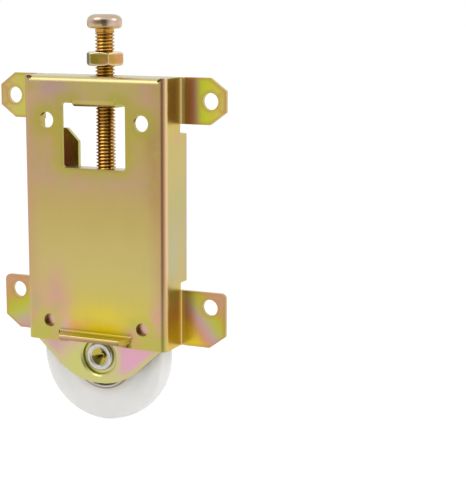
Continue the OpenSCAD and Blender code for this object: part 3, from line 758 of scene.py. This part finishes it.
def kept_above(shape, axis, height):
    """What a mesh has beyond a height along an axis, left open at the cut."""
    normal = Vector(float(axis == name) for name in "XYZ")
    bmesh.ops.bisect_plane(shape, geom=everything(shape), plane_co=normal * height * MM, plane_no=normal,
                           clear_inner=True, dist=CUT_TOUCH)
    return shape


def joined(*shapes):
    """One bmesh that holds several."""
    whole = shapes[0]
    for other in shapes[1:]:
        mesh = bpy.data.meshes.new("part")
        other.to_mesh(mesh)
        other.free()
        whole.from_mesh(mesh)
        bpy.data.meshes.remove(mesh)
    return whole


# Sheet metal and nut

sheet_round = 0.18
sheet_grid = 1.6
nut_round = 0.14
nut_grid = 0.7
nut_turn = math.radians(7)
taper_rise = 4.5
leg_tip_r = axle_z - carriage_low.z
leg_corner = Vector((carriage_high.x, taper_rise))
broad_r = 20.0
broad_low = 8.2
taper_cuts = 14
shortest_taper = 3.0
outline_margin = 0.15


def zinc_piece(name, node, body, finish, width, grid, reshape=None):
    """A CAD node with rounded edges, cut finely enough to carry the distance from them."""
    shape, rim_points = softened(node, width, reshape)
    thing = piece(name, sliced(shape, grid), finish, body, "yellow_zinc", node)
    mark_rim(thing, rim_points)
    level_normals(thing)


class LegEdge:
    """A leg's end in (x, z) from the axle: a round, and tapers from it to the leg's corners."""

    def __init__(self, radius, rise):
        self.radius = radius
        self.rise = rise
        slope = leg_corner - Vector((0, rise))
        turn = math.atan2(slope.y, slope.x) - math.acos(radius / slope.length)
        self.touch = Vector((radius * math.cos(turn), rise + radius * math.sin(turn)))

    def reach(self, way):
        """Distance from the axle to the outline along a unit vector."""
        if way.x * self.touch.y > way.y * self.touch.x:
            along = way.y * self.rise
            return along + math.sqrt(along ** 2 - self.rise ** 2 + self.radius ** 2)
        taper = leg_corner - self.touch
        across = Vector((taper.y, -taper.x))
        return across.dot(leg_corner) / across.dot(way)


def broadened(shape):
    """Gives both legs the broad round end of the real carriage, where the solid has a narrow one."""
    solid = LegEdge(leg_tip_r, 0.0)
    real = LegEdge(broad_r, broad_r - broad_low)

    def from_axle(vert):
        return Vector((abs(vert.co.x), vert.co.z - axle_z * MM)) / MM

    def on_outline(vert):
        spot = from_axle(vert)
        off = abs(spot.length - solid.reach(spot.normalized()))
        return spot.y < taper_rise + 0.02 and off < outline_margin

    tapers = [e for e in shape.edges
              if e.calc_length() > shortest_taper * MM and all(on_outline(v) for v in e.verts)]
    bmesh.ops.subdivide_edges(shape, edges=tapers, cuts=taper_cuts)
    for vert in shape.verts:
        if on_outline(vert):
            way = from_axle(vert).normalized()
            spot = way * real.reach(way)
            vert.co.x = math.copysign(spot.x * MM, vert.co.x)
            vert.co.z = (axle_z + spot.y) * MM


def set_nut(shape):
    """Turns the nut on the screw to where it stands in the photograph."""
    bmesh.ops.rotate(shape, verts=shape.verts, cent=Vector((0, mid_y, 0)) * MM,
                     matrix=Matrix.Rotation(nut_turn, 3, "Z"))


zinc_piece("housing_shell", "housing", "housing", housing_zinc(), sheet_round, sheet_grid)
zinc_piece("carriage_saddle", "carriage", "carriage", carriage_zinc(), sheet_round, sheet_grid, broadened)
zinc_piece("hex_lock_nut", "lock_nut", "nut", nut_zinc(), nut_round, nut_grid, set_nut)


# Adjusting screw

turned_round = 0.1
head_grid = 0.4
pitch = 1.0
head_h = 4.2
shoulder_w = 2.7
shoulder_h = 1.9
dome_margin = 0.12
neck_h = 0.8
neck_r = 2.75
swivel_r = 2.1
rivet_r = 3.2
rivet_h = 1.3
head_z = screw_high.z - head_h
thread_top = head_z - neck_h
thread_low = carriage_high.z + 0.05
turn_steps = 32
lathe_steps = 48
screw_axis = (0, mid_y, 0)


def screw_thread():
    """A V thread swept as a helix, cut flat at both ends."""
    shape = bmesh.new()
    profile = [
        (root_r, 0), (root_r, 0.14), (thread_r, 0.44), (thread_r, 0.58), (root_r, 0.88), (root_r, pitch)]
    foot = thread_low - pitch
    verts = [shape.verts.new(Vector((r, mid_y, foot + h)) * MM) for r, h in profile]
    edges = [shape.edges.new(pair) for pair in zip(verts, verts[1:])]
    turns = math.ceil((thread_top - foot) / pitch) + 1
    bmesh.ops.spin(shape, geom=verts + edges, cent=Vector(screw_axis) * MM, axis=(0, 0, 1),
                   angle=math.tau * turns, steps=turn_steps * turns, use_merge=False,
                   dvec=Vector((0, 0, pitch / turn_steps)) * MM)
    bmesh.ops.remove_doubles(shape, verts=shape.verts, dist=2 * TOUCH)
    for height, side in ((thread_low, -1), (thread_top, 1)):
        cut = bmesh.ops.bisect_plane(shape, geom=everything(shape), plane_co=Vector((0, 0, height)) * MM,
                                     plane_no=(0, 0, side), clear_outer=True, dist=CUT_TOUCH)
        rim = [e for e in cut["geom_cut"] if isinstance(e, bmesh.types.BMEdge)]
        bmesh.ops.edgeloop_fill(shape, edges=rim)
    bmesh.ops.recalc_face_normals(shape, faces=shape.faces)
    return shape


def round_shoulder(shape):
    """Flattens the solid's dome and rounds its shoulder, as on the real pan head."""
    head_r = max(v.co.x for v in shape.verts) / MM
    dome_r = 2 * head_r
    for vert in shape.verts:
        radius = math.hypot(vert.co.x, vert.co.y - mid_y * MM) / MM
        dome = screw_high.z - dome_r + math.sqrt(dome_r ** 2 - radius ** 2)
        rise = vert.co.z / MM
        share = min(max(0.0, radius - head_r + shoulder_w) / shoulder_w, 1.0)
        top = screw_high.z - shoulder_h * (1 - math.sqrt(1 - share ** 2))
        if rise > top or rise > dome - dome_margin:
            vert.co.z = top * MM


neck_profile = [
    (0, thread_top - 0.6), (2.5, thread_top - 0.6), (neck_r, thread_top), (neck_r, head_z - 0.2),
    (neck_r + 0.3, head_z + 0.02)]
swivel_profile = [
    (0, screw_low.z), (2.2, screw_low.z), (rivet_r, screw_low.z + 0.5), (rivet_r, screw_low.z + rivet_h),
    (swivel_r, screw_low.z + rivet_h), (swivel_r, thread_low + 0.3), (0, thread_low + 0.3)]
head_shape, _ = softened("adjuster_screw", turned_round)
head_shape = sliced(kept_above(head_shape, "Z", head_z - 0.01), head_grid)
round_shoulder(head_shape)
screw_shape = joined(head_shape, screw_thread(), turned(neck_profile, lathe_steps, "Z", screw_axis),
                     turned(swivel_profile, lathe_steps, "Z", screw_axis))
even_normals(piece("adjusting_screw", screw_shape, screw_finish(), "screw", "screw_zinc", "adjuster_screw"))


# Wheel

wheel_r = (tyre_high.z - tyre_low.z) / 2
wheel_half = (tyre_high.y - tyre_low.y) / 2
hub_r = 11.0
rim_r = 17.4
seat_r = 9.5
hold_r = 9.4
hub_half = wheel_half + 0.4
seat_half = 3.0
ring_round = 0.2
face_sink = 0.35
face_steps = 14
edge_r = 0.8
crown_h = 0.35
tread_r = ((wheel_half - edge_r) ** 2 / crown_h + crown_h) / 2
tread_angle = math.degrees(math.asin((wheel_half - edge_r) / tread_r))


def dish(share):
    """A point of the shallow dish between hub and rim, from 0 at the hub to 1 at the rim."""
    return hub_r + (rim_r - hub_r) * share, wheel_half - face_sink * math.sin(math.pi * share) ** 2


half_wheel = (
    [(seat_r, 0), (seat_r, seat_half), (hold_r, seat_half), (hold_r, hub_half - 0.1),
     (hold_r + 0.1, hub_half)]
    + arc((ring_r - ring_round, hub_half - ring_round), ring_round, 90, 0, 4) + [(ring_r + 0.1, wheel_half)]
    + [dish(i / face_steps) for i in range(face_steps + 1)]
    + arc((wheel_r - crown_h - edge_r, wheel_half - edge_r), edge_r, 90, 0, 6)
    + arc((wheel_r - tread_r, 0), tread_r, tread_angle, 0, 6)[1:])
wheel_shape = turned(half_wheel, 144)
bmesh.ops.mirror(wheel_shape, geom=everything(wheel_shape), axis="Y", merge_dist=TOUCH)
bmesh.ops.recalc_face_normals(wheel_shape, faces=wheel_shape.faces)
bmesh.ops.translate(wheel_shape, verts=wheel_shape.verts, vec=wheel_centre * MM)
even_normals(piece("nylon_wheel", wheel_shape, nylon_finish(), "wheel", "nylon", "tyre"))


# Axle, and the bearing's CAD nodes, which get better materials

axle_r = 3.0
spun_r = 4.4
spun_seat = 4.8
hollow_depth = 3.0
inner_round = 0.6
outer_round = 0.75
spun_front = axle_front - mid_y
spun_profile = (
    [(0, spun_front + hollow_depth), (0.5, spun_front + hollow_depth - 0.1),
     (hollow_r - 0.15, spun_front + 0.25)]
    + arc((hollow_r + 0.55, spun_front + inner_round), inner_round, 205, 270, 4)
    + arc((spun_r - outer_round, spun_front + outer_round), outer_round, -90, 0, 6)
    + [(spun_r, -spun_seat), (axle_r, -spun_seat), (axle_r, 0)])
axle_shape, _ = softened("axle", turned_round)
axle_shape = joined(kept_above(axle_shape, "Y", mid_y), turned(spun_profile, 72, "Y", wheel_centre))
bmesh.ops.remove_doubles(axle_shape, verts=axle_shape.verts, dist=TOUCH)
even_normals(piece("axle_pin", axle_shape, axle_finish(), "carriage", "bright_steel", "axle"))

ball_steel = steel_finish("ball steel", (182, 181, 178), (202, 201, 198))
# the bearing's outer ring and shields are painted dark, for the shade under the carriage's leg
shadowed_bearing_steel = steel_finish("shadowed bearing steel", (78, 70, 56), (104, 95, 78))
for node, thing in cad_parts.items():
    if node.startswith(("bearing", "shield", "cage", "ball", "swivel")):
        is_dark = node.startswith(("bearing_outer", "shield"))
        thing.data.materials.clear()
        thing.data.materials.append(shadowed_bearing_steel if is_dark else ball_steel)


# Floor, world and lamps

# the carriage's travel below rest, and the floor's distance from the wheel at its lowest
carriage_drop = 6.0
floor_gap = 0.3
floor_z = tyre_low.z - carriage_drop - floor_gap
floor_half_m = 8.0
WHITE = (1, 1, 1, 1)
PALE = (0.9, 0.9, 0.9, 1)


def towards(azimuth, elevation):
    """Unit vector from the part to a viewer; azimuth 0 is in front and turns to the right."""
    a, e = math.radians(azimuth), math.radians(elevation)
    return Vector((math.sin(a) * math.cos(e), -math.cos(a) * math.cos(e), math.sin(e)))


def sector(x, y, reach, azimuth, half, soft):
    """1 within half degrees of an azimuth, as seen from the part, and 0 outside."""
    way = towards(azimuth, 0)
    cosine = (x * way.x + y * way.y) / reach
    return cosine.step(math.cos(math.radians(half + soft)), math.cos(math.radians(half - soft)))


def pale_floor():
    """White to the eye but for the shadow. The metal mirrors it white too, with dark gaps.

    One gap lies before the photograph's front camera, one far out in front, and one before its back camera.
    """
    finish, recipe = new_finish("pale floor")
    path = recipe.add("ShaderNodeLightPath").socket.node.outputs
    seen = Field(recipe, path["Is Camera Ray"])
    mirrored = Field(recipe, path["Is Glossy Ray"]).most(Field(recipe, path["Is Transmission Ray"]))
    x, y, _ = axes(recipe, in_object(recipe))
    reach = span(x, y).most(1.0)
    front_gap = sector(x, y, reach, 27, 17, 10) * reach.step(40, 160) * 0.70
    far_gap = sector(x, y, reach, 0, 50, 14) * reach.step(1450, 2400) * 0.6
    back_gap = sector(x, y, reach, 222, 24, 10) * reach.step(150, 900) * 0.7
    glow = 1 - front_gap.most(far_gap).most(back_gap) * mirrored
    matt = recipe.add("ShaderNodeBsdfDiffuse", {}, {"Color": PALE})
    light = recipe.add("ShaderNodeEmission", {}, {"Color": WHITE, "Strength": glow * (1 + 0.08 * seen)})
    skin = recipe.add("ShaderNodeMixShader", {}, {0: (seen * 0.75).most(mirrored), 1: matt, 2: light})
    recipe.add("ShaderNodeOutputMaterial", {}, {"Surface": skin})
    shape = bmesh.new()
    bmesh.ops.create_grid(shape, x_segments=1, y_segments=1, size=floor_half_m)
    bmesh.ops.translate(shape, verts=shape.verts, vec=(0, 0, floor_z * MM))
    new_object("floor", to_mesh("floor", shape, finish))


def tent_world():
    """A white tent, seen white by the camera, with a dark opening behind it and a dim band low in front."""
    world = bpy.data.worlds.new("tent")
    world.use_nodes = True
    bpy.context.scene.world = world
    recipe = Recipe(world.node_tree)
    seen = recipe.add("ShaderNodeLightPath", out="Is Camera Ray")
    x, y, z = axes(recipe, recipe.add("ShaderNodeTexCoord", out="Generated"))
    reach = span(x, y).most(0.01)
    gap = sector(x, y, reach, 25, 22, 12) * (1 - z.step(0.35, 0.75)) * 0.88
    low = sector(x, y, reach, 0, 60, 20) * (1 - z.step(0.02, 0.16)) * 0.4
    glow = (0.92 + 0.2 * z.step(0.3, 0.9)) * (1 - gap.most(low))
    strength = glow + (1 - glow) * seen
    sky = recipe.add("ShaderNodeBackground", {}, {"Color": WHITE, "Strength": strength})
    recipe.add("ShaderNodeOutputWorld", {}, {"Surface": sky})


def soft_lamp(name, azimuth, elevation, distance, size, power):
    """A round lamp that faces the part, with its distance and size in metres."""
    lamp = bpy.data.lights.new(name, "AREA")
    lamp.shape = "DISK"
    lamp.size = size
    lamp.energy = power
    thing = new_object(name, lamp)
    way = towards(azimuth, elevation)
    thing.location = way * distance
    thing.rotation_euler = way.to_track_quat("Z", "Y").to_euler()


# Camera, from a two-view fit to the photograph

view_azimuth = 23.09
view_elevation = 10.26
view_roll = 0.31
view_distance = 401.5
focal_px = 1342.2
frame_px = Vector((466, 496))
aim = Vector((0, -4.58, -2.14))
aim_px = Vector((103.4, 208.5))
sensor_mm = 36.0


def photo_camera():
    back = towards(view_azimuth, view_elevation)
    level = Vector((math.cos(math.radians(view_azimuth)), math.sin(math.radians(view_azimuth)), 0))
    rise = back.cross(level)
    roll = math.radians(view_roll)
    right = level * math.cos(roll) + rise * math.sin(roll)
    up = rise * math.cos(roll) - level * math.sin(roll)
    off = (aim_px - frame_px / 2) * view_distance / focal_px
    spot = aim + back * view_distance - right * off.x + up * off.y
    lens = bpy.data.cameras.new("camera")
    lens.sensor_fit = "HORIZONTAL"
    lens.sensor_width = sensor_mm
    lens.lens = focal_px * sensor_mm / frame_px.x
    lens.clip_start = 0.01
    eye = new_object("camera", lens)
    turn = Matrix((right, up, back)).transposed().to_4x4()
    eye.matrix_world = Matrix.Translation(spot * MM) @ turn
    bpy.context.scene.camera = eye


pale_floor()
tent_world()
soft_lamp("key", azimuth=-35, elevation=48, distance=0.7, size=0.45, power=1.0)
soft_lamp("fill", azimuth=100, elevation=30, distance=0.7, size=0.4, power=0.8)
photo_camera()
bpy.context.scene.view_settings.view_transform = "Standard"
